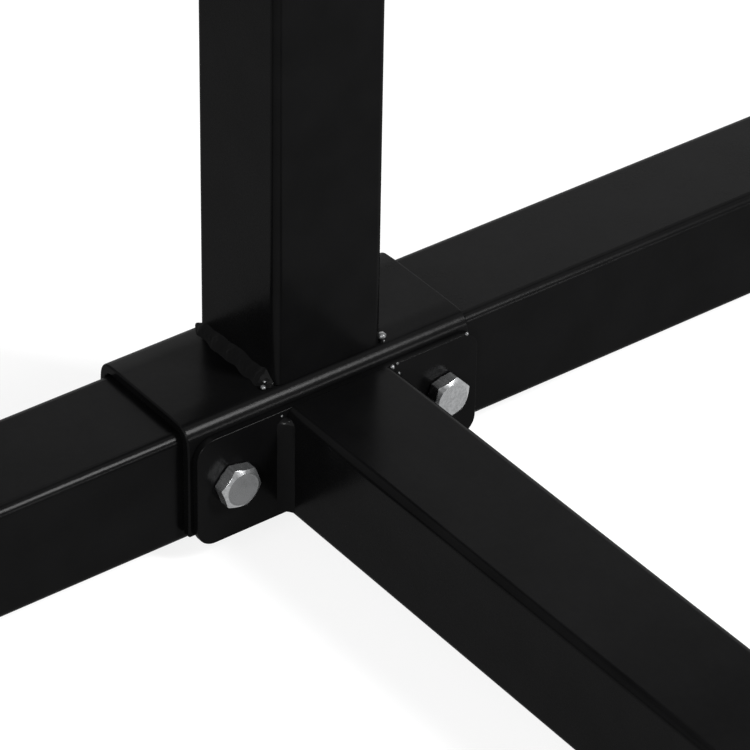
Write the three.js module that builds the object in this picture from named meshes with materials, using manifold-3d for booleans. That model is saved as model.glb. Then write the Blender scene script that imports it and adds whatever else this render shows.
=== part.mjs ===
// Freestanding kayak rack: two square posts on an H-shaped base, with two tiers of padded
// arms on both sides. Each post is welded on a saddle that straddles its foot, and the beam
// between the feet ends in flange plates that are bolted through saddle and foot.
// Millimetres, +Z up, X along the kayaks. The origin is on the floor, midway between the
// uprights. Front is -Y, left is -X.

import * as THREE from 'three';
import { mergeVertices } from 'three/addons/utils/BufferGeometryUtils.js';
import Module from 'manifold-3d';

// Driving dimensions: layout
const UPRIGHT_SPACING = 1200; // centre line of one post to the other
const FOOT_LENGTH = 1100; // cut length of a foot tube
const POST_LENGTH = 1385; // cut length of a post tube
const LOWER_ARM_HEIGHT = 380; // floor to the centre line of the lower arms
const UPPER_ARM_HEIGHT = 1000; // floor to the centre line of the upper arms

// Driving dimensions: square tubes
const FRAME_TUBE = 50; // outer width of feet and posts
const FRAME_WALL = 2;
const BEAM_TUBE = 49; // outer width of the beam
const BEAM_WALL = 2;
const TUBE_CORNER = 3.5; // outer corner radius of every square tube
const BORE_CORNER_SHARE = 0.25; // least inner corner radius, as a share of the wall

// Driving dimensions: saddle, a bent plate over each foot
const SADDLE_LENGTH = 131;
const SADDLE_SHIFT = -2; // the saddle sits this far off its post, along the foot
const SADDLE_WALL = 4;
const SADDLE_SIDE_GAP = 0.5; // cheek to foot
const SADDLE_LIFT = 5; // cheek's lower edge above the foot's underside

// Driving dimensions: flange plates on the beam's ends
const FLANGE_LENGTH = 131;
const FLANGE_HEIGHT = 48;
const FLANGE_WALL = 3;
const FLANGE_CORNER = 8;
const BASE_BOLT_SPACING = 98.4; // one bolt on each side of the beam
const BASE_BOLT_HEIGHT = 25.7; // above the foot's underside

// Driving dimensions: arms, round tubes with a flange plate welded on
const ARM_TUBE = 32; // outer diameter
const ARM_WALL = 2;
const ARM_REACH = 450; // post face to the centre line of the upturned tip
const ARM_BEND = 75; // centre-line radius
const ARM_TIP_HEIGHT = 165; // centre line of the run to the tube's end
const ARM_FLANGE_WIDTH = 50;
const ARM_FLANGE_HEIGHT = 130;
const ARM_FLANGE_WALL = 4;
const ARM_BOLT_SPACING = 96; // one bolt above the arm and one below

// Driving dimensions: foam sleeves, closed over the arm's tip
const FOAM_WALL = 12;
const FOAM_END = 14; // foam beyond the tube's end
const FOAM_DOME = 18; // height of the rounded tip
const FOAM_ROOT_GAP = 10; // bare tube between flange plate and sleeve

// Driving dimensions: M10 fasteners
const BOLT_DIAMETER = 10;
const BOLT_HEAD_FLATS = 16;
const BOLT_HEAD_HEIGHT = 6.4;
const BOLT_TAIL = 3; // thread that stands out of the nut
const BOLT_HOLE_GAP = 0.5; // hole wall to shank
const NUT_FLATS = 15;
const NUT_HEIGHT = 10;
const NUT_FLANGE = 20; // diameter of the nut's own flange
const NUT_FLANGE_EDGE = 1.5; // thickness at the flange's rim
const NUT_CONE_HEIGHT = 4; // seat to the top of the cone between flange and hexagon
const FASTENER_CHAMFER = 1; // height of the cone that trims hexagon corners

// Driving dimensions: moulded boots on the feet and caps on the posts
const BOOT_WALL = 4;
const BOOT_SOLE = 8;
const BOOT_DEPTH = 64; // foot tube inside the boot
const BOOT_CORNER = 7;
const BOOT_GROOVES = 4; // tread grooves across each sole
const BOOT_GROOVE_WIDTH = 4;
const BOOT_GROOVE_DEPTH = 2;
const CAP_HEIGHT = 5;
const CAP_EDGE = 1.5; // rounding of the cap's top edge
const CAP_SKIRT_DEPTH = 22;
const CAP_SKIRT_WALL = 2.5;

// Driving dimensions: welds
const BEAD_RADIUS = 3.2;
const BEAD_RIPPLE = 0.35; // height of one ripple
const BEAD_PITCH = 9; // length of one ripple
const BEAD_STANDOFF = 0.6; // a run's axis to each wall that it joins

// Driving dimensions: clearance
const FIT_GAP = 0.3; // pieces that slide over or into each other

// Facets
const CORNER_STEPS = 3; // in a quarter circle
const TURNED_SIDES = 12; // bolts, nuts and their holes
const ARM_SIDES = 12;
const ARM_BORE_SIDES = 6;
const ARM_BEND_STEPS = 4;
const BORE_CORNER_STEPS = 1; // in a quarter circle inside a square tube
const BEAD_SIDES = 6;
const DOME_STEPS = 2;
const EDGE_STEPS = 2; // in the rounded edge of a moulding
const MERGE_TOLERANCE = 1e-4;
const CUT_THROUGH = 3; // a cutting tool's length, in thicknesses of what it cuts

// Heights and faces that follow from the dimensions
const FOOT_BOTTOM = BOOT_SOLE + FIT_GAP;
const FOOT_TOP = FOOT_BOTTOM + FRAME_TUBE;
const SADDLE_TOP = FOOT_TOP + FIT_GAP + SADDLE_WALL;
const SADDLE_HALF = FRAME_TUBE / 2 + SADDLE_SIDE_GAP + SADDLE_WALL;
const POST_TOP = SADDLE_TOP + POST_LENGTH;
const BEAM_CENTRE = FOOT_BOTTOM + BEAM_TUBE / 2;
const BOLT_HOLE_RADIUS = BOLT_DIAMETER / 2 + BOLT_HOLE_GAP;

// Finishes
const powderCoat = { color: 0x17181a, roughness: 0.42, metalness: 0.1 };
const zincPlate = { color: 0xb9bbbd, roughness: 0.3, metalness: 1 };
const foamRubber = { color: 0x1d1d1e, roughness: 0.95, metalness: 0 };
const mouldedPlastic = { color: 0x141415, roughness: 0.7, metalness: 0 };

const wasm = await Module();
wasm.setup();

// Welds a geometry's shared vertices, drops triangles without area and makes a solid of it.
function toSolid(geometry) {
  const bare = geometry.clone();
  bare.deleteAttribute('normal');
  bare.deleteAttribute('uv');
  const merged = mergeVertices(bare, MERGE_TOLERANCE);
  const index = merged.getIndex().array;
  const triangles = [];
  for (let i = 0; i < index.length; i += 3) {
    const [a, b, c] = [index[i], index[i + 1], index[i + 2]];
    if (a !== b && b !== c && c !== a) {
      triangles.push(a, b, c);
    }
  }
  return new wasm.Manifold(new wasm.Mesh({
    numProp: 3,
    vertProperties: new Float32Array(merged.getAttribute('position').array),
    triVerts: new Uint32Array(triangles),
  }));
}

function toGeometry(solid) {
  const mesh = solid.getMesh();
  const geometry = new THREE.BufferGeometry();
  geometry.setAttribute('position', new THREE.BufferAttribute(mesh.vertProperties, 3));
  geometry.setIndex(new THREE.BufferAttribute(mesh.triVerts, 1));
  return geometry;
}

function join(base, ...others) {
  return toGeometry(others.reduce((solid, other) => solid.add(toSolid(other)), toSolid(base)));
}

function cut(base, ...tools) {
  return toGeometry(tools.reduce((solid, tool) => solid.subtract(toSolid(tool)), toSolid(base)));
}

function intersect(base, other) {
  return toGeometry(toSolid(base).intersect(toSolid(other)));
}

function named(name, geometry, finish) {
  const mesh = new THREE.Mesh(geometry, new THREE.MeshStandardMaterial(finish));
  mesh.name = name;
  return mesh;
}

// Outlines

function circle(radius, sides) {
  const points = [];
  for (let side = 0; side < sides; side += 1) {
    const angle = side * 2 * Math.PI / sides;
    points.push(new THREE.Vector2(radius * Math.cos(angle), radius * Math.sin(angle)));
  }
  return points;
}

// Quarter circle about (x, y) from one quarter turn to the next one, forwards or back.
function quarterArc(x, y, radius, fromQuarter, toQuarter, steps = CORNER_STEPS) {
  const points = [];
  for (let step = 0; step <= steps; step += 1) {
    const quarter = THREE.MathUtils.lerp(fromQuarter, toQuarter, step / steps);
    const angle = quarter * Math.PI / 2;
    points.push(new THREE.Vector2(x + radius * Math.cos(angle), y + radius * Math.sin(angle)));
  }
  return points;
}

function roundedRectangle(width, height, corner, steps = CORNER_STEPS) {
  const x = width / 2 - corner;
  const y = height / 2 - corner;
  return [
    ...quarterArc(x, y, corner, 0, 1, steps),
    ...quarterArc(-x, y, corner, 1, 2, steps),
    ...quarterArc(-x, -y, corner, 2, 3, steps),
    ...quarterArc(x, -y, corner, 3, 4, steps),
  ];
}

function prism(outline, depth) {
  const shape = new THREE.Shape(outline);
  return new THREE.ExtrudeGeometry(shape, { depth, bevelEnabled: false });
}

// Round drill along Z, centred on the origin, for a piece of the given thickness.
function drill(radius, thickness) {
  const depth = CUT_THROUGH * thickness;
  return prism(circle(radius, TURNED_SIDES), depth).translate(0, 0, -depth / 2);
}

// Square tube along Z from the origin.
function squareTube(size, wall, length) {
  const section = new THREE.Shape(roundedRectangle(size, size, TUBE_CORNER));
  const room = size - 2 * wall;
  const corner = Math.max(TUBE_CORNER - wall, BORE_CORNER_SHARE * wall);
  const bore = roundedRectangle(room, room, corner, BORE_CORNER_STEPS);
  section.holes.push(new THREE.Path(bore));
  return new THREE.ExtrudeGeometry(section, { depth: length, bevelEnabled: false });
}

// What a square tube along Z from the origin takes away from the weld runs round it.
function tubeRoom(size) {
  const room = size + 2 * FIT_GAP;
  const outline = roundedRectangle(room, room, TUBE_CORNER + FIT_GAP);
  return prism(outline, CUT_THROUGH * BEAD_RADIUS);
}

// A weld run along Z with a ripple for each dab of the torch and round ends.
function weldBead(length) {
  const ripples = Math.max(1, Math.round(length / BEAD_PITCH));
  const profile = [new THREE.Vector2(0, 0)];
  for (let ripple = 0; ripple < ripples; ripple += 1) {
    const start = ripple * length / ripples;
    const middle = start + length / ripples / 2;
    const valley = ripple === 0 ? BEAD_RADIUS / 2 : BEAD_RADIUS - BEAD_RIPPLE;
    profile.push(new THREE.Vector2(valley, start));
    profile.push(new THREE.Vector2(BEAD_RADIUS, middle));
  }
  profile.push(new THREE.Vector2(BEAD_RADIUS / 2, length));
  profile.push(new THREE.Vector2(0, length));
  return new THREE.LatheGeometry(profile, BEAD_SIDES);
}

// Fasteners, built along Z with the seat at z = 0

function hexagon(flats, height) {
  const corner = flats / 2 / Math.cos(Math.PI / 6);
  const trim = new THREE.LatheGeometry([
    new THREE.Vector2(0, 0),
    new THREE.Vector2(corner, 0),
    new THREE.Vector2(corner, height - FASTENER_CHAMFER),
    new THREE.Vector2(corner - FASTENER_CHAMFER * Math.sqrt(3), height),
    new THREE.Vector2(0, height),
  ], TURNED_SIDES).rotateX(Math.PI / 2);
  return intersect(prism(circle(corner, 6), height), trim);
}

// Hexagon bolt: head above the seat, shank below it for the grip, the nut and a tail.
function hexBolt(grip) {
  const length = grip + NUT_HEIGHT + BOLT_TAIL;
  const radius = BOLT_DIAMETER / 2;
  const shank = new THREE.LatheGeometry([
    new THREE.Vector2(0, -length),
    new THREE.Vector2(radius - FASTENER_CHAMFER, -length),
    new THREE.Vector2(radius, FASTENER_CHAMFER - length),
    new THREE.Vector2(radius, BOLT_HEAD_HEIGHT / 2),
    new THREE.Vector2(0, BOLT_HEAD_HEIGHT / 2),
  ], TURNED_SIDES).rotateX(Math.PI / 2);
  return join(shank, hexagon(BOLT_HEAD_FLATS, BOLT_HEAD_HEIGHT));
}

// Hexagon nut with its own round flange, seated at z = 0 and standing up from it.
function flangeNut() {
  const flange = new THREE.LatheGeometry([
    new THREE.Vector2(0, 0),
    new THREE.Vector2(NUT_FLANGE / 2, 0),
    new THREE.Vector2(NUT_FLANGE / 2, NUT_FLANGE_EDGE),
    new THREE.Vector2(NUT_FLATS / 2, NUT_CONE_HEIGHT),
    new THREE.Vector2(0, NUT_CONE_HEIGHT),
  ], TURNED_SIDES).rotateX(Math.PI / 2);
  const corner = NUT_FLATS / 2 / Math.cos(Math.PI / 6);
  const body = join(flange, prism(circle(corner, 6), NUT_HEIGHT));
  return cut(body, drill(BOLT_DIAMETER / 2 + FIT_GAP, NUT_HEIGHT));
}

// A bolt through a grip along Z: the bolt's seat is at the group's origin, the nut under it.
function boltedPair(boltName, nutName, grip) {
  const pair = new THREE.Group();
  const nut = named(nutName, flangeNut(), zincPlate);
  nut.rotation.x = Math.PI;
  nut.position.z = -grip;
  pair.add(named(boltName, hexBolt(grip), zincPlate), nut);
  return pair;
}

// Base, in a frame whose z = 0 is the centre line of the feet

const FOOT_CENTRE = FOOT_BOTTOM + FRAME_TUBE / 2;
const BASE_BOLT_Z = FOOT_BOTTOM + BASE_BOLT_HEIGHT - FOOT_CENTRE;

function footTube() {
  const tube = squareTube(FRAME_TUBE, FRAME_WALL, FOOT_LENGTH);
  tube.translate(0, 0, -FOOT_LENGTH / 2).rotateX(Math.PI / 2);
  const holes = [-1, 1].map((end) => drill(BOLT_HOLE_RADIUS, FRAME_TUBE)
    .rotateY(Math.PI / 2)
    .translate(0, end * BASE_BOLT_SPACING / 2, BASE_BOLT_Z));
  return cut(tube, ...holes);
}

// Moulded boot with its closed end towards +Y; y = 0 is the end of the foot tube.
function footBoot() {
  const pocket = FRAME_TUBE + 2 * FIT_GAP;
  const width = pocket + 2 * BOOT_WALL;
  const height = pocket + BOOT_WALL + BOOT_SOLE;
  const length = BOOT_DEPTH + FIT_GAP + BOOT_WALL;
  const edge = BOOT_WALL / 2;
  const shell = new THREE.ExtrudeGeometry(
    new THREE.Shape(roundedRectangle(width, height, BOOT_CORNER)),
    {
      depth: length - 2 * edge,
      bevelThickness: edge,
      bevelSize: edge,
      bevelOffset: -edge,
      bevelSegments: EDGE_STEPS,
    },
  );
  shell.rotateX(-Math.PI / 2).translate(0, edge - BOOT_DEPTH, (BOOT_WALL - BOOT_SOLE) / 2);
  const reach = CUT_THROUGH * BOOT_DEPTH;
  const hollow = prism(roundedRectangle(pocket, pocket, TUBE_CORNER + FIT_GAP), reach);
  hollow.rotateX(-Math.PI / 2).translate(0, FIT_GAP - reach, 0);
  const grooves = [];
  for (let groove = 0; groove < BOOT_GROOVES; groove += 1) {
    const y = (groove + 0.5) * BOOT_DEPTH / BOOT_GROOVES - BOOT_DEPTH;
    const tread = new THREE.BoxGeometry(
      CUT_THROUGH * width,
      BOOT_GROOVE_WIDTH,
      2 * BOOT_GROOVE_DEPTH,
    );
    grooves.push(tread.translate(0, y, -pocket / 2 - BOOT_SOLE));
  }
  return cut(shell, hollow, ...grooves);
}

// Bent plate over the foot, with a weld run on its back for two faces of the post. Its
// bends follow the corners of the foot tube.
function saddle() {
  const inner = SADDLE_HALF - SADDLE_WALL;
  const bottom = SADDLE_LIFT - FRAME_TUBE / 2;
  const top = SADDLE_TOP - FOOT_CENTRE;
  const outerBend = TUBE_CORNER + SADDLE_WALL;
  const bendX = inner - TUBE_CORNER;
  const bendZ = top - outerBend;
  const outline = [
    new THREE.Vector2(-inner, bottom),
    new THREE.Vector2(-SADDLE_HALF, bottom),
    ...quarterArc(-bendX, bendZ, outerBend, 2, 1),
    ...quarterArc(bendX, bendZ, outerBend, 1, 0),
    new THREE.Vector2(SADDLE_HALF, bottom),
    new THREE.Vector2(inner, bottom),
    ...quarterArc(bendX, bendZ, TUBE_CORNER, 0, 1),
    ...quarterArc(-bendX, bendZ, TUBE_CORNER, 1, 2),
  ];
  const plate = prism(outline, SADDLE_LENGTH);
  plate.translate(0, 0, -SADDLE_LENGTH / 2).rotateX(Math.PI / 2).translate(0, SADDLE_SHIFT, 0);
  const holes = [-1, 1].map((end) => drill(BOLT_HOLE_RADIUS, 2 * SADDLE_HALF)
    .rotateY(Math.PI / 2)
    .translate(0, end * BASE_BOLT_SPACING / 2, BASE_BOLT_Z));
  const beadY = FRAME_TUBE / 2 + BEAD_STANDOFF;
  const beads = [-1, 1].map((face) => weldBead(FRAME_TUBE)
    .rotateZ(-Math.PI / 2)
    .translate(-FRAME_TUBE / 2, face * beadY, top + BEAD_STANDOFF));
  const post = tubeRoom(FRAME_TUBE).translate(0, 0, top);
  return cut(join(plate, ...beads), post, ...holes);
}

// Flange plate with the beam towards +X and a weld run on each side of the beam.
function beamFlange() {
  const plate = prism(roundedRectangle(FLANGE_LENGTH, FLANGE_HEIGHT, FLANGE_CORNER), FLANGE_WALL);
  const holeY = BASE_BOLT_HEIGHT - BEAM_TUBE / 2;
  const holes = [-1, 1].map((end) => drill(BOLT_HOLE_RADIUS, FLANGE_WALL)
    .translate(end * BASE_BOLT_SPACING / 2, holeY, 0));
  const beadLength = BEAM_TUBE - 2 * TUBE_CORNER;
  const beads = [-1, 1].map((face) => weldBead(beadLength).translate(
    face * (BEAM_TUBE / 2 + BEAD_STANDOFF),
    -beadLength / 2,
    FLANGE_WALL + BEAD_STANDOFF,
  ));
  const beam = tubeRoom(BEAM_TUBE).translate(0, 0, FLANGE_WALL);
  const flange = cut(join(plate, ...beads), beam, ...holes);
  return flange.rotateX(Math.PI / 2).rotateZ(Math.PI / 2);
}

function beamTube() {
  const length = UPRIGHT_SPACING - 2 * (SADDLE_HALF + FLANGE_WALL);
  const tube = squareTube(BEAM_TUBE, BEAM_WALL, length);
  return tube.translate(0, 0, -length / 2).rotateY(Math.PI / 2);
}

// Foot, boots, saddle, flange and bolts of one side; inward is the beam's direction along X.
function baseEnd(side, inward) {
  const end = new THREE.Group();
  end.add(named(`foot_${side}`, footTube(), powderCoat));
  end.add(named(`saddle_${side}`, saddle(), powderCoat));
  for (const [face, turn] of [['front', Math.PI], ['back', 0]]) {
    const holder = new THREE.Group();
    const boot = named(`foot_boot_${side}_${face}`, footBoot(), mouldedPlastic);
    boot.position.y = FOOT_LENGTH / 2;
    holder.rotation.z = turn;
    holder.add(boot);
    end.add(holder);
  }
  const flange = named(`beam_flange_${side}`, beamFlange(), powderCoat);
  flange.rotation.z = inward > 0 ? 0 : Math.PI;
  flange.position.set(inward * SADDLE_HALF, 0, BEAM_CENTRE - FOOT_CENTRE);
  end.add(flange);
  for (const [face, sign] of [['front', -1], ['back', 1]]) {
    const pair = boltedPair(
      `base_bolt_${side}_${face}`,
      `base_nut_${side}_${face}`,
      FLANGE_WALL + 2 * SADDLE_HALF,
    );
    pair.rotation.y = inward * Math.PI / 2;
    pair.position.set(
      inward * (SADDLE_HALF + FLANGE_WALL),
      sign * BASE_BOLT_SPACING / 2,
      BASE_BOLT_Z,
    );
    end.add(pair);
  }
  return end;
}

// Posts

function postTube() {
  const holes = [];
  for (const armHeight of [LOWER_ARM_HEIGHT, UPPER_ARM_HEIGHT]) {
    for (const sign of [-1, 1]) {
      holes.push(drill(BOLT_HOLE_RADIUS, FRAME_TUBE)
        .rotateX(Math.PI / 2)
        .translate(0, 0, armHeight + sign * ARM_BOLT_SPACING / 2 - SADDLE_TOP));
    }
  }
  return cut(squareTube(FRAME_TUBE, FRAME_WALL, POST_LENGTH), ...holes);
}

// Cap that closes the post's top, with a skirt inside the tube.
function postCap() {
  const outline = roundedRectangle(FRAME_TUBE, FRAME_TUBE, TUBE_CORNER);
  const rounded = new THREE.ExtrudeGeometry(new THREE.Shape(outline), {
    depth: CAP_HEIGHT,
    bevelThickness: CAP_EDGE,
    bevelSize: CAP_EDGE,
    bevelOffset: -CAP_EDGE,
    bevelSegments: EDGE_STEPS,
  });
  const crown = intersect(rounded.translate(0, 0, -CAP_EDGE), prism(outline, CAP_HEIGHT));
  const skirtSize = FRAME_TUBE - 2 * FRAME_WALL - 2 * FIT_GAP;
  const skirt = squareTube(skirtSize, CAP_SKIRT_WALL, CAP_SKIRT_DEPTH + CAP_HEIGHT / 2);
  return join(crown, skirt.translate(0, 0, -CAP_SKIRT_DEPTH));
}

// Arms, built towards +Y from the post's face at y = 0

// Centre line with one step for the run, equal steps round the bend and one for the tip.
class ArmLine extends THREE.Curve {
  constructor(start, end) {
    super();
    this.start = start;
    this.end = end;
  }

  getPoint(t, target = new THREE.Vector3()) {
    const station = t * (ARM_BEND_STEPS + 2);
    const bendStart = ARM_REACH - ARM_BEND;
    if (station < 1) {
      return target.set(0, THREE.MathUtils.lerp(this.start, bendStart, station), 0);
    }
    if (station > ARM_BEND_STEPS + 1) {
      const along = station - ARM_BEND_STEPS - 1;
      return target.set(0, ARM_REACH, THREE.MathUtils.lerp(ARM_BEND, this.end, along));
    }
    const angle = (station - 1) / ARM_BEND_STEPS * Math.PI / 2;
    return target.set(
      0,
      bendStart + ARM_BEND * Math.sin(angle),
      ARM_BEND * (1 - Math.cos(angle)),
    );
  }

  getUtoTmapping(u) {
    return u;
  }
}

function sweep(section, start, end) {
  return new THREE.ExtrudeGeometry(section, {
    steps: ARM_BEND_STEPS + 2,
    extrudePath: new ArmLine(start, end),
    bevelEnabled: false,
  });
}

// Bent tube welded on a flange plate.
function arm() {
  const plate = prism(
    roundedRectangle(ARM_FLANGE_WIDTH, ARM_FLANGE_HEIGHT, FLANGE_CORNER),
    ARM_FLANGE_WALL,
  );
  const holes = [-1, 1].map((end) => drill(BOLT_HOLE_RADIUS, ARM_FLANGE_WALL)
    .translate(0, end * ARM_BOLT_SPACING / 2, 0));
  const flange = cut(plate, ...holes).rotateX(-Math.PI / 2);
  const section = new THREE.Shape(circle(ARM_TUBE / 2, ARM_SIDES));
  section.holes.push(new THREE.Path(circle(ARM_TUBE / 2 - ARM_WALL, ARM_BORE_SIDES)));
  const tube = sweep(section, ARM_FLANGE_WALL / 2, ARM_TIP_HEIGHT);
  const inside = ARM_TUBE / 2 - ARM_WALL / 2;
  const fillet = new THREE.LatheGeometry([
    new THREE.Vector2(inside, ARM_FLANGE_WALL / 2),
    new THREE.Vector2(ARM_TUBE / 2 + BEAD_RADIUS, ARM_FLANGE_WALL / 2),
    new THREE.Vector2(ARM_TUBE / 2 + BEAD_RADIUS, ARM_FLANGE_WALL + BEAD_RIPPLE),
    new THREE.Vector2(inside, ARM_FLANGE_WALL + BEAD_RADIUS),
    new THREE.Vector2(inside, ARM_FLANGE_WALL / 2),
  ], ARM_SIDES);
  return join(flange, tube, fillet);
}

// Foam sleeve over the arm: open at the root, closed and domed over the tip.
function foamSleeve() {
  const bore = ARM_TUBE / 2 + FIT_GAP;
  const outer = bore + FOAM_WALL;
  const root = ARM_FLANGE_WALL + FOAM_ROOT_GAP;
  const tubeEnd = ARM_TIP_HEIGHT + FIT_GAP;
  const domeBase = tubeEnd + FOAM_END - FOAM_DOME;
  const body = sweep(new THREE.Shape(circle(outer, ARM_SIDES)), root, domeBase);
  const domeRadius = outer * Math.cos(Math.PI / ARM_SIDES); // inside the body's facets
  const profile = [new THREE.Vector2(0, domeBase - FOAM_WALL)];
  profile.push(new THREE.Vector2(domeRadius, domeBase - FOAM_WALL));
  for (let step = 0; step < DOME_STEPS; step += 1) {
    const angle = step / DOME_STEPS * Math.PI / 2;
    profile.push(new THREE.Vector2(
      domeRadius * Math.cos(angle),
      domeBase + FOAM_DOME * Math.sin(angle),
    ));
  }
  profile.push(new THREE.Vector2(0, domeBase + FOAM_DOME));
  const dome = new THREE.LatheGeometry(profile, ARM_SIDES).rotateX(Math.PI / 2);
  dome.translate(0, ARM_REACH, 0);
  const hollow = sweep(new THREE.Shape(circle(bore, ARM_SIDES)), root - FOAM_WALL, tubeEnd);
  return cut(join(body, dome), hollow);
}

// A front and a back arm with their sleeves and the bolts that they share.
function armTier(side, tier) {
  const arms = new THREE.Group();
  for (const [face, turn] of [['front', Math.PI], ['back', 0]]) {
    const holder = new THREE.Group();
    const bare = named(`arm_${side}_${tier}_${face}`, arm(), powderCoat);
    const sleeve = named(`arm_sleeve_${side}_${tier}_${face}`, foamSleeve(), foamRubber);
    bare.position.y = FRAME_TUBE / 2;
    sleeve.position.y = FRAME_TUBE / 2;
    holder.rotation.z = turn;
    holder.add(bare, sleeve);
    arms.add(holder);
  }
  for (const [level, sign] of [['bottom', -1], ['top', 1]]) {
    const pair = boltedPair(
      `arm_bolt_${side}_${tier}_${level}`,
      `arm_nut_${side}_${tier}_${level}`,
      FRAME_TUBE + 2 * ARM_FLANGE_WALL,
    );
    pair.rotation.x = Math.PI / 2;
    pair.position.set(0, -FRAME_TUBE / 2 - ARM_FLANGE_WALL, sign * ARM_BOLT_SPACING / 2);
    arms.add(pair);
  }
  return arms;
}

function upright(side, inward) {
  const whole = new THREE.Group();
  const base = baseEnd(side, inward);
  base.position.z = FOOT_CENTRE;
  const post = named(`post_${side}`, postTube(), powderCoat);
  post.position.z = SADDLE_TOP;
  const cap = named(`post_cap_${side}`, postCap(), mouldedPlastic);
  cap.position.z = POST_TOP;
  whole.add(base, post, cap);
  for (const [tier, height] of [['lower', LOWER_ARM_HEIGHT], ['upper', UPPER_ARM_HEIGHT]]) {
    const arms = armTier(side, tier);
    arms.position.z = height;
    whole.add(arms);
  }
  return whole;
}

const rack = new THREE.Group();
const left = upright('left', 1);
left.position.x = -UPRIGHT_SPACING / 2;
const right = upright('right', -1);
right.position.x = UPRIGHT_SPACING / 2;
const beam = named('beam', beamTube(), powderCoat);
beam.position.z = BEAM_CENTRE;
rack.add(left, right, beam);

export default rack;
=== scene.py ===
import math
from itertools import product

import bmesh
import bpy
from bpy.props import FloatProperty, FloatVectorProperty, IntProperty, PointerProperty
from mathutils import Matrix, Vector, noise


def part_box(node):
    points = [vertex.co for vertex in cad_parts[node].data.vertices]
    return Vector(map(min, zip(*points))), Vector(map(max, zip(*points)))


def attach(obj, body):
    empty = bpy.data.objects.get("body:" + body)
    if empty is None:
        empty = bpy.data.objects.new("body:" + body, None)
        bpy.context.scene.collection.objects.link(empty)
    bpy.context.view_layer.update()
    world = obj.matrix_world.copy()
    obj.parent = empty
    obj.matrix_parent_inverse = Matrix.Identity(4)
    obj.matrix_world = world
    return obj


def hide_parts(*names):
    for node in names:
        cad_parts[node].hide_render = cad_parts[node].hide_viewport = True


bl_info = {
    "name": "Freestanding kayak rack",
    "version": (1, 0, 0),
    "blender": (4, 5, 0),
    "location": "View3D > Sidebar > Kayak rack",
    "description": "Dresses the frame of a padded, powder-coated kayak rack",
    "category": "Object",
}

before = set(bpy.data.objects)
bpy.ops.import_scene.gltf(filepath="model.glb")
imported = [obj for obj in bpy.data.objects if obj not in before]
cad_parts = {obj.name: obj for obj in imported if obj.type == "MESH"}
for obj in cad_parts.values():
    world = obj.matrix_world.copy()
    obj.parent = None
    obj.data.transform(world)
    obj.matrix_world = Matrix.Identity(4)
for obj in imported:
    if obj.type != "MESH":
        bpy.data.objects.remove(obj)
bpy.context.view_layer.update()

MM = 0.001
BODY = "root"

SIDES = {"left": 1, "right": -1}  # side to the direction of the beam along X
FACES = {"front": -1, "back": 1}  # face to its direction along Y
TIERS = ("lower", "upper")
LEVELS = ("bottom", "top")

X_AXIS = Vector((1, 0, 0))
Y_AXIS = Vector((0, 1, 0))
Z_AXIS = Vector((0, 0, 1))


WHITE = (1, 1, 1, 1)
TEXTURE_RANGE = (0.35, 0.65)  # where most of a noise texture's numbers lie


def length(name, description, default):
    """A length property in metres, given in millimetres."""
    return FloatProperty(
        name=name, description=description, default=default * MM, min=0, unit="LENGTH", precision=5
    )


def amount(name, description, default):
    """A plain number from zero up."""
    return FloatProperty(name=name, description=description, default=default, min=0)


def bearing(name, description, degrees):
    """An angle property, given in degrees."""
    return FloatProperty(
        name=name, description=description, default=math.radians(degrees), subtype="ANGLE"
    )


def tint(name, description, colour):
    """A colour property."""
    return FloatVectorProperty(
        name=name, description=description, default=colour, subtype="COLOR", size=3, min=0, max=1
    )


# Sizes and colours


class TubeSizes(bpy.types.PropertyGroup):
    foot_corner: length("Foot corner", "Outer corner radius of the feet", 4.2)
    corner: length("Corner", "Outer corner radius of the square tubes", 3.5)
    wall: length("Wall", "Wall of the square tubes", 2)
    cut_edge: length("Cut edge", "Rounding of sawn and punched edges under the coat", 0.35)
    corner_steps: IntProperty(name="Corner steps", description="Facets of a corner", default=12)


class PlateSizes(bpy.types.PropertyGroup):
    saddle_wall: length("Saddle wall", "Thickness of the bent saddle plate", 4)
    flange_wall: length("Flange wall", "Thickness of the beam's flange plates", 3)
    flange_height: length("Flange height", "Height of the beam's flange plates", 48)
    flange_corner: length("Flange corner", "Corner radius of all flange plates", 8)
    arm_flange_wall: length("Arm flange wall", "Thickness of the arms' flange plates", 4)
    side_gap: length("Side gap", "Saddle's cheek to the foot", 0.5)
    hole_gap: length("Hole gap", "Wall of a bolt hole to the bolt", 0.5)
    edge: length("Edge", "Rounding of a saddle's coated edges", 0.8)
    flange_edge: length("Flange edge", "Rounding of a flange's coated edges", 0.35)


class WeldSizes(bpy.types.PropertyGroup):
    post_leg: length("Post leg", "Width of the post's welds along each wall", 4.4)
    beam_leg: length("Beam leg", "Width of the beam's welds along each wall", 4.8)
    arm_leg: length("Arm leg", "Width of the arms' welds along each wall", 4)
    hollow: amount("Hollow", "Depth of a smooth run's face by its leg", 0.12)
    tip: length("Tip", "Length of the point that a run of the post starts in", 6)
    ripple_pitch: length("Ripple pitch", "Distance from one dab of weld to the next", 2.6)
    ripple_height: length("Ripple height", "Height of one dab of weld", 0.1)
    lump_size: length("Lump size", "Spacing of the lumps in an uneven run", 5)
    lump_height: length("Lump height", "Height of the lumps in an uneven run", 0.4)
    step: length("Step", "Distance from one modelled section of a run to the next", 0.5)


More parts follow.
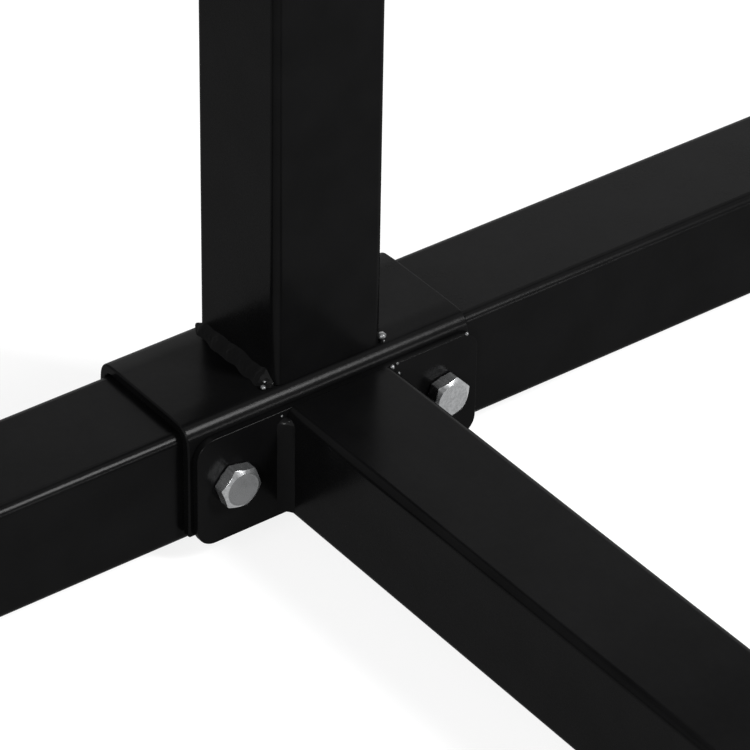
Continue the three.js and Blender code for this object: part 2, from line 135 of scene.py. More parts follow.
class FastenerSizes(bpy.types.PropertyGroup):
    thread: length("Thread", "Nominal diameter", 10)
    pitch: length("Pitch", "Pitch of the coarse thread", 1.5)
    thread_depth: length("Thread depth", "Depth of the thread", 0.85)
    threaded: length("Threaded", "Length of modelled thread at the bolt's end", 15)
    head_flats: length("Head flats", "Across the flats of a bolt head", 16)
    head_height: length("Head height", "Height of a bolt head", 6.4)
    washer_face: length("Washer face", "Height of the turned face under a bolt head", 0.5)
    nut_flats: length("Nut flats", "Across the flats of a nut", 15)
    nut_height: length("Nut height", "Height of a nut", 10)
    nut_flange: length("Nut flange", "Diameter of a nut's flange", 20)


class ArmSizes(bpy.types.PropertyGroup):
    tube: length("Tube", "Outer diameter of the arms", 32)
    wall: length("Wall", "Wall of the arms", 2)
    reach: length("Reach", "Post face to the centre line of the tip", 450)
    bend: length("Bend", "Radius of the bend's centre line", 75)
    foam_wall: length("Foam wall", "Wall of a foam sleeve", 11.7)
    foam_end: length("Foam end", "Foam beyond the arm's end", 13.7)
    foam_dome: length("Foam dome", "Height of a sleeve's rounded tip", 18)
    fit: length("Fit", "Clearance of pieces that slide over or into each other", 0.3)


class Finishes(bpy.types.PropertyGroup):
    powder: tint("Powder coat", "Colour of the coated steel", (0.0024, 0.0024, 0.0025))
    zinc: tint("Zinc", "Colour of the plated fasteners", (0.30, 0.305, 0.31))
    foam: tint("Foam", "Colour of the foam sleeves", (0.010, 0.010, 0.0105))
    plastic: tint("Plastic", "Colour of the boots and caps", (0.007, 0.007, 0.0075))


class StageSettings(bpy.types.PropertyGroup):
    azimuth: bearing("Azimuth", "Camera's turn about the joint, from -Y towards +X", 52.67)
    elevation: bearing("Elevation", "Camera's height angle over the joint", 35.42)
    roll: bearing("Roll", "Camera's roll", 1.04)
    distance: length("Distance", "Camera to the joint", 1668.97)
    focal_pixels: amount("Focal length", "Focal length in pixels of the picture", 4308.93)
    picture: amount("Picture", "Width of the picture in pixels", 750)
    joint_pixel: FloatVectorProperty(
        name="Joint pixel", description="Where the joint's origin lies in the picture",
        size=2, default=(289.48, 449.14),
    )
    ambient: amount("Ambient", "Strength of the room's soft light", 0.15)
    floor_grey: amount("Floor grey", "How much of the lamps' light the floor sends back", 0.25)
    floor_lift: amount("Floor lift", "How far the floor is lifted towards white", 0.80)
    floor_far_lift: amount("Far floor lift", "The same beyond the lamps' reach", 0.94)


# Mesh building


def new_piece(name, vertices, faces):
    """A closed mesh with its faces pointing out."""
    mesh = bpy.data.meshes.new(name)
    mesh.from_pydata([tuple(vertex) for vertex in vertices], [], faces)
    work = bmesh.new()
    work.from_mesh(mesh)
    bmesh.ops.recalc_face_normals(work, faces=work.faces)
    work.to_mesh(mesh)
    work.free()
    piece = bpy.data.objects.new(name, mesh)
    bpy.context.scene.collection.objects.link(piece)
    return piece


def loft(name, rings, closed=False):
    """Skins rings of equal counts. A closed loft joins its last ring to its first one."""
    count = len(rings[0])
    vertices = [point for ring in rings for point in ring]
    faces = []
    for index in range(len(rings) if closed else len(rings) - 1):
        low = index * count
        high = (index + 1) % len(rings) * count
        for side in range(count):
            turn = (side + 1) % count
            faces.append((low + side, low + turn, high + turn, high + side))
    if not closed:
        faces.append(tuple(range(count)))
        faces.append(tuple(range(len(vertices) - count, len(vertices))))
    return new_piece(name, vertices, faces)


def carve(piece, cutters):
    """Cuts the cutters out of a piece and deletes them."""
    for cutter in cutters:
        boolean = piece.modifiers.new("cut", "BOOLEAN")
        boolean.operation = "DIFFERENCE"
        boolean.solver = "EXACT"
        boolean.object = cutter
    graph = bpy.context.evaluated_depsgraph_get()
    carved = bpy.data.meshes.new_from_object(piece.evaluated_get(graph))
    piece.modifiers.clear()
    piece.data = carved
    for cutter in cutters:
        bpy.data.objects.remove(cutter)


def quarter_arc(x, y, radius, first, last, steps):
    """Points on a quarter circle about (x, y), from one quarter turn to another."""
    points = []
    for step in range(steps + 1):
        angle = (first + (last - first) * step / steps) * math.pi / 2
        points.append((x + radius * math.cos(angle), y + radius * math.sin(angle)))
    return points


def rounded_rectangle(width, height, corner, steps):
    x = width / 2 - corner
    y = height / 2 - corner
    return (
        quarter_arc(x, y, corner, 0, 1, steps)
        + quarter_arc(-x, y, corner, 1, 2, steps)
        + quarter_arc(-x, -y, corner, 2, 3, steps)
        + quarter_arc(x, -y, corner, 3, 4, steps)
    )


def circle(radius, sides):
    turns = [side * 2 * math.pi / sides for side in range(sides)]
    return [(radius * math.cos(turn), radius * math.sin(turn)) for turn in turns]


def place_at(spot, along, up):
    """A place at a spot, with Z along one direction and Y along another."""
    side = up.cross(along)
    return Matrix.Translation(spot) @ Matrix((side, up, along)).transposed().to_4x4()


def set_ring(outline, height, place):
    return [place @ Vector((x, y, height)) for x, y in outline]


def prism(name, outline, place, start, end):
    """An outline drawn out along Z of a place, from one height to another."""
    return loft(name, [set_ring(outline, start, place), set_ring(outline, end, place)])


def drill_holes(piece, depth, places):
    """Drills bolt holes of a depth along Z of places, half of it to each side of them."""
    scene = bpy.context.scene
    outline = circle(scene.rack_fasteners.thread / 2 + scene.rack_plates.hole_gap, 32)
    carve(piece, [prism("drill", outline, place, -depth / 2, depth / 2) for place in places])


def square_tube(name, low, high, axis, sizes, corner=None):
    """A square tube that fills a box, open along one of its axes."""
    corner = corner or sizes.corner
    span = high - low
    others = [index for index in range(3) if index != axis]
    along = Vector([float(index == axis) for index in range(3)])
    up = Vector([float(index == others[1]) for index in range(3)])
    width = span[others[0]]
    place = place_at((low + high) / 2, along, up)
    room = width - 2 * sizes.wall
    outer = rounded_rectangle(width, width, corner, sizes.corner_steps)
    inner = rounded_rectangle(room, room, corner - sizes.wall, sizes.corner_steps)
    end = span[axis] / 2
    rings = [
        set_ring(outer, -end, place),
        set_ring(outer, end, place),
        set_ring(inner, end, place),
        set_ring(inner, -end, place),
    ]
    return loft(name, rings, closed=True)


def turned(name, rings, place, sides=96, closed=False):
    """A turned or hexagonal form. A ring's radius and height may depend on the angle."""
    sections = []
    for radius, height in rings:
        section = []
        for side in range(sides):
            angle = side * 2 * math.pi / sides
            out = radius(angle) if callable(radius) else radius
            up = height(angle) if callable(height) else height
            section.append(place @ Vector((out * math.cos(angle), out * math.sin(angle), up)))
        sections.append(section)
    return loft(name, sections, closed)


def hexagon(flats):
    """Distance from a hexagon's centre to its rim by angle, with a trace off the corners."""
    worn = 0.985

    def rim(angle):
        folded = (angle + math.pi / 6) % (math.pi / 3) - math.pi / 6
        corner = flats / 2 / math.cos(math.pi / 6)
        return min(flats / 2 / math.cos(folded), corner * worn)

    return rim


def trimmed(height, rim, start):
    """Height of a hexagon's top edge by angle, where a cone from a radius trims it."""
    slope = math.tan(math.radians(30))

    def edge(angle):
        return height - max(0.0, rim(angle) - start) * slope

    return edge


def finish(piece, slot, *nodes, edge=0.0, smooth_angle=50, segments=3, look=None):
    """Rounds a piece's edges, gives it its finish and sets it in the place of its nodes."""
    piece.data.shade_smooth()
    if edge:
        bevel = piece.modifiers.new("edge", "BEVEL")
        bevel.width = edge
        bevel.segments = segments
        bevel.limit_method = "ANGLE"
        bevel.angle_limit = math.radians(smooth_angle)
    else:
        piece.data.set_sharp_from_angle(angle=math.radians(smooth_angle))
    shading = piece.modifiers.new("shading", "WEIGHTED_NORMAL")
    shading.keep_sharp = True
    piece.data.materials.clear()
    piece.data.materials.append(material_for(look or slot))
    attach(piece, BODY)
    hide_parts(*nodes)
    return piece


# Finishes


def set_inputs(tree, node, inputs):
    """Sets inputs by name or number, each to a value or to the output that leads to it."""
    for key, value in inputs.items():
        if isinstance(value, bpy.types.NodeSocket):
            tree.links.new(value, node.inputs[key])
        else:
            node.inputs[key].default_value = value


def add_node(tree, kind, inputs, **settings):
    node = tree.nodes.new(kind)
    for name, value in settings.items():
        setattr(node, name, value)
    set_inputs(tree, node, inputs)
    return node


def calculate(tree, operation, first, second):
    """A number from two others, each a value or an output."""
    return add_node(tree, "ShaderNodeMath", {0: first, 1: second}, operation=operation).outputs[0]


def grain(tree, place, scale, detail=2.0):
    """Noise with features of one metre divided by the scale."""
    inputs = {"Vector": place, "Scale": scale, "Detail": detail}
    return add_node(tree, "ShaderNodeTexNoise", inputs).outputs["Fac"]


def blend(tree, factor, low, high):
    """Mixes two colours by a texture, over the middle of the texture's range."""
    ramp = add_node(tree, "ShaderNodeValToRGB", {"Fac": factor})
    for stop, position, colour in zip(ramp.color_ramp.elements, TEXTURE_RANGE, (low, high)):
        stop.position = position
        stop.color = (*colour, 1)
    return ramp.outputs["Color"]


def remap(tree, factor, low, high, span=TEXTURE_RANGE):
    """Spreads a span of numbers over another one."""
    inputs = {"Value": factor, "From Min": span[0], "From Max": span[1], "To Min": low, "To Max": high}
    return add_node(tree, "ShaderNodeMapRange", inputs).outputs["Result"]


def bump(tree, height, distance, strength, below=None):
    inputs = {"Height": height, "Distance": distance, "Strength": strength}
    if below is not None:
        inputs["Normal"] = below
    return add_node(tree, "ShaderNodeBump", inputs).outputs["Normal"]


def flecks(tree, place, scale, size):
    """Sparse specks: 1 within a few of the texture's cells, 0 elsewhere."""
    cells = add_node(tree, "ShaderNodeTexVoronoi", {"Vector": place, "Scale": scale})
    near = calculate(tree, "LESS_THAN", cells.outputs["Distance"], size * scale)
    chosen = calculate(tree, "GREATER_THAN", cells.outputs["Color"], 0.8)
    return calculate(tree, "MULTIPLY", near, chosen)


def mix_colour(tree, factor, first, second):
    """An output's colour, with another colour over it where the factor is 1."""
    inputs = {"Factor": factor, 6: first, 7: (*second, 1)}
    return add_node(tree, "ShaderNodeMix", inputs, data_type="RGBA").outputs[2]


def shade(colour, factor):
    return tuple(channel * factor for channel in colour)


def powder_coat(tree, place, colour):
    """Satin black powder coat with orange peel, a little mottle and a few dust specks."""
    base = blend(tree, grain(tree, place, 45, 3), shade(colour, 0.85), shade(colour, 1.15))
    dust = flecks(tree, place, 55, 0.0004)
    peel = bump(tree, grain(tree, place, 650), 0.0002, 0.10)
    powder = bump(tree, grain(tree, place, 2800), 0.00006, 0.10, peel)
    return {
        "Base Color": mix_colour(tree, dust, base, (0.12, 0.12, 0.12)),
        "IOR": 1.03,
        "Coat Weight": 0.067,
        "Coat Roughness": 0.22,
        "Roughness": remap(tree, grain(tree, place, 300, 3), 0.22, 0.32),
        "Normal": powder,
        "Coat Normal": powder,
    }


def zinc_plate(tree, place, colour):
    """Bright drawn zinc. Front fasteners get painted shade on their faces that point along +X: their
    colour is darkened to stand in for the dark beam and shaded floor that they reflect.
    """
    stretched = add_node(tree, "ShaderNodeMapping", {"Vector": place, "Scale": (0.08, 1, 1)})
    drawn = grain(tree, stretched.outputs["Vector"], 900, 3)
    spot = add_node(tree, "ShaderNodeSeparateXYZ", {"Vector": place})
    normal = tree.nodes.new("ShaderNodeNewGeometry").outputs["Normal"]
    facing = add_node(tree, "ShaderNodeSeparateXYZ", {"Vector": normal})
    # painted shade: front fastener faces pointing along +X are darkened in colour, in place of the
    # dark reflection they would show
    front = calculate(tree, "LESS_THAN", spot.outputs["Y"], -0.02)
    end = calculate(tree, "GREATER_THAN", facing.outputs["X"], 0.96)
    painted_shade = calculate(tree, "MULTIPLY", front, end)
    bright = blend(tree, drawn, shade(colour, 0.8), shade(colour, 1.05))
    return {
        "Base Color": mix_colour(tree, painted_shade, bright, shade(colour, 0.52)),
        "Metallic": 0.85,
        "Roughness": remap(tree, grain(tree, place, 350, 3), 0.18, 0.30),
        "Normal": bump(tree, grain(tree, place, 400), 0.0001, 0.08),
    }


def bare_weld(tree, place, colour):
    """Dull bare metal of the weld drops that the powder didn't cover."""
    metal = blend(tree, grain(tree, place, 900, 3), shade(colour, 0.2), shade(colour, 0.45))
    return {"Base Color": metal, "Metallic": 0.7, "Roughness": 0.42}


def foam_rubber(tree, place, colour):
    """Closed-cell foam: matt skin with fine pores and faint handling marks."""
    cells = add_node(tree, "ShaderNodeTexVoronoi", {"Vector": place, "Scale": 1100})
    pores = bump(tree, cells.outputs["Distance"], 0.0003, 0.5)
    return {
        "Base Color": blend(tree, grain(tree, place, 25, 4), shade(colour, 0.85), shade(colour, 1.2)),
        "IOR": 1.3,
        "Roughness": remap(tree, grain(tree, place, 400, 3), 0.8, 0.95),
        "Normal": bump(tree, grain(tree, place, 160, 3), 0.0006, 0.25, pores),
    }


def moulded_plastic(tree, place, colour):
    """Black moulding with a fine spark-eroded grain."""
    return {
        "Base Color": blend(tree, grain(tree, place, 60, 3), shade(colour, 0.85), shade(colour, 1.2)),
        "IOR": 1.25,
        "Roughness": remap(tree, grain(tree, place, 500, 3), 0.5, 0.62),
        "Normal": bump(tree, grain(tree, place, 1800), 0.00015, 0.45),
    }


LOOKS = {
    # look: material, its colour's setting, its builder
    "powder_coat": ("satin_powder", "powder", powder_coat),
    "zinc": ("bright_zinc", "zinc", zinc_plate),
    "bare_weld": ("bare_weld", "zinc", bare_weld),
    "foam": ("foam_rubber", "foam", foam_rubber),
    "moulded_plastic": ("grained_plastic", "plastic", moulded_plastic),
}


def material_for(look):
    """The material of a look, made when it's first asked for."""
    name, setting, build = LOOKS[look]
    if name not in bpy.data.materials:
        material = bpy.data.materials.new(name)
        material.use_nodes = True
        tree = material.node_tree
        place = tree.nodes.new("ShaderNodeTexCoord").outputs["Object"]
        colour = getattr(bpy.context.scene.rack_finishes, setting)
        set_inputs(tree, tree.nodes["Principled BSDF"], build(tree, place, colour))
    return bpy.data.materials[name]


# Places that the frame gives


def middle(node):
    low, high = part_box(node)
    return (low + high) / 2


def bolt_place(side, face):
    """Seat of a base bolt's head, with Z along the bolt towards its head."""
    inward = SIDES[side]
    plates = bpy.context.scene.rack_plates
    centre = middle(f"base_bolt_{side}_{face}")
    low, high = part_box(f"saddle_{side}")
    cheek = high.x if inward > 0 else low.x
    seat = Vector((cheek + inward * plates.flange_wall, centre.y, centre.z))
    return place_at(seat, inward * X_AXIS, Z_AXIS)


def arm_bolt_place(side, tier, level):
    """Seat of an arm bolt's head at the post's front, with Z towards the head."""
    plates = bpy.context.scene.rack_plates
    centre = middle(f"arm_bolt_{side}_{tier}_{level}")
    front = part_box(f"post_{side}")[0].y - plates.arm_flange_wall
    seat = Vector((centre.x, front, centre.z))
    return place_at(seat, -Y_AXIS, Z_AXIS)


# Welds


def weld_section(corner, first, second, legs, hollow, skin):
    """Outline of a weld in the corner between two walls, which lead away along first and second.

    The skin gives the height of the run's uneven face by its share of the way across.
    """
    steps = 14
    root_depth = 0.3 * MM
    outward = (first + second) / math.sqrt(2)
    section = [corner - root_depth * (first + second)]
    for step in range(steps + 1):
        share = step / steps
        dome = 4 * share * (1 - share)
        face = corner + legs[0] * (1 - share) * first + legs[1] * share * second
        section.append(face + outward * dome * (skin(share) - hollow))
    return section


def weld_skin(place, travelled, rough, seed):
    """Lumps and dabs of weld at a station of a run, by the share of the way across it."""
    sizes = bpy.context.scene.rack_welds

    def skin(share):
        spot = place / sizes.lump_size + Vector((seed, 1.7 * share, seed))
        lump = noise.noise(spot) + 0.5 * noise.noise(2.3 * spot)
        lean = 0.5 * sizes.ripple_pitch * math.cos(2 * math.pi * (share - 0.5))
        dab = math.cos(2 * math.pi * (travelled + lean) / sizes.ripple_pitch)
        return rough * (sizes.lump_height * lump + sizes.ripple_height * dab)

    return skin


def hollow_depth(leg, rough):
    """Depth of a run's hollow face, which is less in an uneven run."""
    return bpy.context.scene.rack_welds.hollow * leg * (1 - 0.7 * rough)


def weld_run(name, start, end, first, second, leg, growth, tip, rough, seed):
    """A straight weld run. It starts in a tip and grows wider by a share of its leg."""
    sizes = bpy.context.scene.rack_welds
    least = 0.05  # share of the leg that is left at the run's ends
    waviness = 0.35 * rough
    along = end - start
    span = along.length
    count = max(8, round(span / sizes.step))
    sections = []
    for station in range(count + 1):
        travelled = span * station / count
        corner = start + along * (travelled / span)
        opening = min(1.0, travelled / tip + least)
        closing = min(1.0, (span - travelled) / ((0.4 + rough) * leg) + least)
        taper = opening ** 0.75 * closing ** 0.5
        size = leg * (1 + growth * (travelled / span - 0.5))
        edge = corner / sizes.lump_size
        legs = [
            taper * size * (1 + waviness * noise.noise(edge + Vector((0, 0, shift + seed))))
            for shift in (0, 40)
        ]
        skin = weld_skin(corner, travelled, rough * taper, seed)
        hollow = hollow_depth(taper * leg, rough)
        sections.append(weld_section(corner, first, second, legs, hollow, skin))
    return loft(name, sections)


def weld_ring(name, centre, along, radius, leg, rough, seed):
    """A weld run round a tube that stands on a plate; along leads away from the plate."""
    sizes = bpy.context.scene.rack_welds
    count = max(48, round(2 * math.pi * radius / sizes.step))
    across = along.cross(X_AXIS).normalized()
    pitch_count = round(2 * math.pi * radius / sizes.ripple_pitch)
    sections = []
    for station in range(count):
        turn = station * 2 * math.pi / count
        outward = math.cos(turn) * X_AXIS + math.sin(turn) * across
        corner = centre + outward * radius
        skin = weld_skin(corner, turn * pitch_count * sizes.ripple_pitch / (2 * math.pi), rough, seed)
        hollow = hollow_depth(leg, rough)
        sections.append(weld_section(corner, outward, along, (leg, leg), hollow, skin))
    return loft(name, sections, closed=True)


def drop_places(drops, corner, signs):
    """Centres and radii of weld drops, from millimetres out of a corner along signed axes."""
    return [
        (corner + MM * Vector([sign * part for sign, part in zip(signs, parts)]), radius * MM)
        for *parts, radius in drops
    ]


def spatter(name, node, drops, flat):
    """Bare drops of weld metal, each with a centre and a radius, all flat in one direction."""
    columns = 16
    rows = 9
    unevenness = 0.18
    flatness = 0.75
    vertices = []
    faces = []
    turn = flat.to_track_quat("Z", "Y").to_matrix()
    for centre, radius in drops:
        first = len(vertices)
        for row in range(rows):
            tilt = math.pi * (row + 0.5) / rows
            for column in range(columns):
                angle = 2 * math.pi * column / columns
                out = Vector((
                    math.sin(tilt) * math.cos(angle), math.sin(tilt) * math.sin(angle), math.cos(tilt)
                ))
                swell = 1 + unevenness * noise.noise(2 * out + centre / MM)
                out.z *= flatness
                vertices.append(centre + radius * swell * (turn @ out))
        for row in range(rows - 1):
            for column in range(columns):
                beside = (column + 1) % columns
                low = first + row * columns
                high = low + columns
                faces.append((low + column, low + beside, high + beside, high + column))
        faces.append(tuple(range(first, first + columns)))
        faces.append(tuple(range(len(vertices) - columns, len(vertices))))
    beads = new_piece(name, vertices, faces)
    finish(beads, "powder_coat", node, smooth_angle=80, look="bare_weld")


# Pieces of the base


class RACK_OT_feet(bpy.types.Operator):
    """Square tubes that lie under the posts"""

    bl_idname = "rack.feet"
    bl_label = "Feet"

    def execute(self, context):
        tubes = context.scene.rack_tubes
        for side in SIDES:
            node = f"foot_{side}"
            low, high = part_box(node)
            foot = square_tube(f"{node}_tube", low, high, 1, tubes, tubes.foot_corner)
            drill_holes(foot, 2 * (high.x - low.x), [bolt_place(side, face) for face in FACES])
            finish(foot, "powder_coat", node, edge=tubes.cut_edge)
        return {"FINISHED"}


class RACK_OT_beam(bpy.types.Operator):
    """Square tube between the two feet"""

    bl_idname = "rack.beam"
    bl_label = "Beam"

    def execute(self, context):
        tubes = context.scene.rack_tubes
        low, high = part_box("beam")
        beam = square_tube("beam_tube", low, high, 0, tubes)
        finish(beam, "powder_coat", "beam", edge=tubes.cut_edge)
        return {"FINISHED"}


class RACK_OT_saddles(bpy.types.Operator):
    """Bent plates over the feet, and the welds between them and the posts"""

    bl_idname = "rack.saddles"
    bl_label = "Saddles"

    # the bend's runs: length in millimetres, turn in degrees, facets
    bend_runs = ((8, 5, 8), (4.03, 42, 12), (4.84, 37, 10), (10, 6, 8))

    weld_start = 1.5 * MM  # beyond the post's outer face
    weld_end = 0.5 * MM  # short of its inner face

    # weld drops by post face, in millimetres: from the post's inner face, its side, its foot; radius
    drops = {
        "front": ((2.0, 3.9, 0.6, 1.1), (3.0, 2.6, 2.0, 0.6)),
        "back": ((1.5, 1.0, 2.2, 1.7), (0.2, 1.0, 0.5, 0.5)),
    }

    def execute(self, context):
        plates = context.scene.rack_plates
        tubes = context.scene.rack_tubes
        welds = context.scene.rack_welds
        for side, inward in SIDES.items():
            node = f"saddle_{side}"
            low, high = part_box(node)
            post_low, post_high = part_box(f"post_{side}")
            top = post_low.z
            half = (high.x - low.x) / 2
            inner = half - plates.saddle_wall
            bend_x = inner - tubes.corner
            bend_z = top - plates.saddle_wall - tubes.corner
            steps = tubes.corner_steps
            centre_x = (low.x + high.x) / 2
            bend = [(half - drop, top - dip) for drop, dip in self.bend_outline()]
            outline = (
                [(-inner, low.z), (-half, low.z)]
                + [(-x, z) for x, z in reversed(bend)]
                + bend
                + [(half, low.z), (inner, low.z)]
                + quarter_arc(bend_x, bend_z, tubes.corner, 0, 1, steps)
                + quarter_arc(-bend_x, bend_z, tubes.corner, 1, 2, steps)
            )
            ends = [
                [Vector((centre_x + x, y, z)) for x, z in outline] for y in (low.y, high.y)
            ]
            saddle = loft(f"{node}_plate", ends)
            drill_holes(saddle, 6 * half, [bolt_place(side, face) for face in FACES])
            finish(saddle, "powder_coat", node, edge=plates.edge)
            far_x, near_x = (post_low.x, post_high.x)[::inward]
            drops = []
            for seed, (face, outward) in enumerate(FACES.items()):
                corner_y = post_low.y if outward < 0 else post_high.y
                start = Vector((far_x - inward * self.weld_start, corner_y, top))
                end = Vector((near_x - inward * self.weld_end, corner_y, top))
                weld = weld_run(
                    f"post_weld_{side}_{face}", start, end, Z_AXIS, outward * Y_AXIS,
                    welds.post_leg, 0.3, welds.tip, 0.8, 3 + seed,
                )
                finish(weld, "powder_coat", node, smooth_angle=80)
                corner = Vector((near_x, corner_y, top))
                drops += drop_places(self.drops[face], corner, (-inward, outward, 1))
            spatter(f"post_weld_{side}_spatter", node, drops, Z_AXIS)
        return {"FINISHED"}

    def bend_outline(self):
        """The bend from the top to the cheek: distances in from the cheek and down from the top.

        The plate starts to lean gently, turns tightly, and straightens gently again.
        """
        angle = 0.0
        across = 0.0
        down = 0.0
        points = [(across, down)]
        for run, turn, steps in self.bend_runs:
            for step in range(steps):
                middle_angle = math.radians(angle + turn * (step + 0.5) / steps)
                across += run * MM / steps * math.cos(middle_angle)
                down += run * MM / steps * math.sin(middle_angle)
                points.append((across, down))
            angle += turn
        return [(across - along, dip) for along, dip in points]


class RACK_OT_flanges(bpy.types.Operator):
    """Plates on the beam's ends and the welds that hold them"""

    bl_idname = "rack.flanges"
    bl_label = "Beam flanges"

    weld_start = 1.2 * MM
    weld_tip = 1.5 * MM

    # weld drops by beam side, in millimetres: from the flange's face, the side, the top; radius
    drops = {
        "front": ((2.0, 0.4, 5.0, 0.6), (0.4, 2.9, 2.2, 0.5)),
        "back": (
            (0.5, 1.9, 0.2, 0.6),
            (1.0, -0.8, 0.6, 1.0),
            (0.6, 2.6, 5.0, 0.7),
            (-0.1, 35.6, 0.6, 0.8),
        ),
    }

    def execute(self, context):
        plates = context.scene.rack_plates
        tubes = context.scene.rack_tubes
        welds = context.scene.rack_welds
        beam_low, beam_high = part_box("beam")
        for side, inward in SIDES.items():
            node = f"beam_flange_{side}"
            low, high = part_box(node)
            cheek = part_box(f"saddle_{side}")[1 if inward > 0 else 0].x
            outline = rounded_rectangle(
                high.y - low.y, plates.flange_height, plates.flange_corner, tubes.corner_steps
            )
            centre = Vector((cheek, (low.y + high.y) / 2, (low.z + high.z) / 2))
            place = place_at(centre, inward * X_AXIS, Z_AXIS)
            plate = prism(f"{node}_plate", outline, place, 0, plates.flange_wall)
            drill_holes(plate, 4 * plates.flange_wall, [bolt_place(side, face) for face in FACES])
            finish(plate, "powder_coat", node, edge=plates.flange_edge)
            face_x = cheek + inward * plates.flange_wall
            drops = []
            for face, outward in FACES.items():
                corner_y = beam_low.y if outward < 0 else beam_high.y
                start = Vector((face_x, corner_y, beam_low.z + self.weld_start))
                end = Vector((face_x, corner_y, beam_high.z - tubes.corner))
                weld = weld_run(
                    f"beam_weld_{side}_{face}", start, end, outward * Y_AXIS, inward * X_AXIS,
                    welds.beam_leg, 0, self.weld_tip, 0.12, 11 + outward,
                )
                finish(weld, "powder_coat", node, smooth_angle=80)
                corner = Vector((face_x, corner_y, beam_high.z))
                drops += drop_places(self.drops[face], corner, (inward, outward, -1))
            spatter(f"beam_weld_{side}_spatter", node, drops, inward * X_AXIS)
        return {"FINISHED"}


class RACK_OT_boots(bpy.types.Operator):
    """Moulded boots on the feet, with a tread in their soles"""

    bl_idname = "rack.boots"
    bl_label = "Boots"

    groove_count = 4
    groove_width = 4 * MM
    groove_depth = 2 * MM
    corner = 7 * MM
    end_radius = 3 * MM
    lip = 6 * MM
    lip_step = 0.5 * MM
    mouth_edge = 0.6 * MM
    groove_edge = 0.4 * MM

    def execute(self, context):
        tubes = context.scene.rack_tubes
        fit = context.scene.rack_arms.fit
        steps = tubes.corner_steps
        for side, (face, outward) in product(SIDES, FACES.items()):
            node = f"foot_boot_{side}_{face}"
            low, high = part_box(node)
            foot_low, foot_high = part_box(f"foot_{side}")
            foot_end = foot_high.y if outward > 0 else foot_low.y
            mouth = low.y if outward > 0 else high.y
            centre = Vector(((low.x + high.x) / 2, mouth, (low.z + high.z) / 2))
            place = place_at(centre, outward * Y_AXIS, Z_AXIS)
            width = high.x - low.x
            height = high.z - low.z
            depth = high.y - low.y
            pocket_depth = abs(foot_end - mouth) + fit
            pocket = foot_high.x - foot_low.x + 2 * fit
            lift = (foot_low.z + foot_high.z) / 2 - centre.z

            def shell(inset, along):
                outline = rounded_rectangle(
                    width - 2 * inset, height - 2 * inset, self.corner - inset, steps
                )
                return set_ring(outline, along, place)

            def bore(along, narrow):
                outline = rounded_rectangle(
                    pocket - 2 * narrow, pocket - 2 * narrow, tubes.corner, steps
                )
                return [place @ Vector((x, y + lift, along)) for x, y in outline]

            rings = [bore(pocket_depth, 0), bore(self.mouth_edge, 0), bore(0, -self.mouth_edge)]
            rings += [shell(self.lip_step, 0), shell(0, self.lip_step), shell(0, self.lip)]
            rings += [shell(self.lip_step, self.lip + self.lip_step)]
            for step in range(5):
                angle = step / 4 * math.pi / 2
                inset = self.lip_step + self.end_radius * (1 - math.cos(angle))
                rings.append(shell(inset, depth - self.end_radius * (1 - math.sin(angle))))
            boot = loft(f"{node}_moulding", rings)
            grooves = []
            for groove in range(self.groove_count):
                along = (groove + 0.5) * (pocket_depth - fit) / self.groove_count
                size = Matrix.Diagonal((2 * width, 2 * self.groove_depth, self.groove_width, 1))
                spot = Matrix.Translation((0, -height / 2, along))
                box = rounded_rectangle(1, 1, 0.2, 3)
                grooves.append(prism("groove", box, place @ spot @ size, -0.5, 0.5))
            carve(boot, grooves)
            finish(boot, "moulded_plastic", node, edge=self.groove_edge, smooth_angle=35)
        return {"FINISHED"}


# Fasteners


def hex_bolt(name, place, tail):
    """A bolt with its seat at its place and its end at the given distance below it."""
    sizes = bpy.context.scene.rack_fasteners
    thread_land = 1.15
    thread_slope = 2.6
    rim = hexagon(sizes.head_flats)
    face = sizes.head_flats / 2 * 0.86
    seat = sizes.head_flats / 2 * 0.95
    dish = 0.15 * MM
    top = trimmed(sizes.head_height, rim, face)
    radius = sizes.thread / 2
    rings = []
    per_pitch = 10
    thread_count = round(sizes.threaded / sizes.pitch * per_pitch)
    for station in range(thread_count + 1):
        height = sizes.threaded * station / thread_count
        lead_in = min(1.0, (sizes.threaded - height) / sizes.pitch)

        def flank(angle, height=height, lead_in=lead_in):
            phase = (height / sizes.pitch - angle / (2 * math.pi)) % 1
            groove = min(1.0, max(0.0, thread_land - abs(phase - 0.5) * thread_slope))
            cone = radius - sizes.thread_depth + height
            return min(radius - sizes.thread_depth * groove * lead_in, cone)

        rings.append((flank, height - tail))
    rings.append((radius, -0.4 * MM))
    rings += [(radius, -0.01 * MM), (seat, 0), (seat, sizes.washer_face)]
    rings.append((lambda angle: rim(angle) * 0.985, sizes.washer_face))
    rings += [(rim, sizes.washer_face + 0.25 * MM), (rim, lambda angle: top(angle) - 0.15 * MM)]
    rings.append((lambda angle: rim(angle) - 0.12 * MM, lambda angle: top(angle) - 0.02 * MM))
    rings += [
        (face, sizes.head_height),
        (face - 0.5 * MM, sizes.head_height),
        (face - 0.9 * MM, sizes.head_height - 0.8 * dish),
        (face * 0.4, sizes.head_height - dish),
    ]
    return turned(name, rings, place)


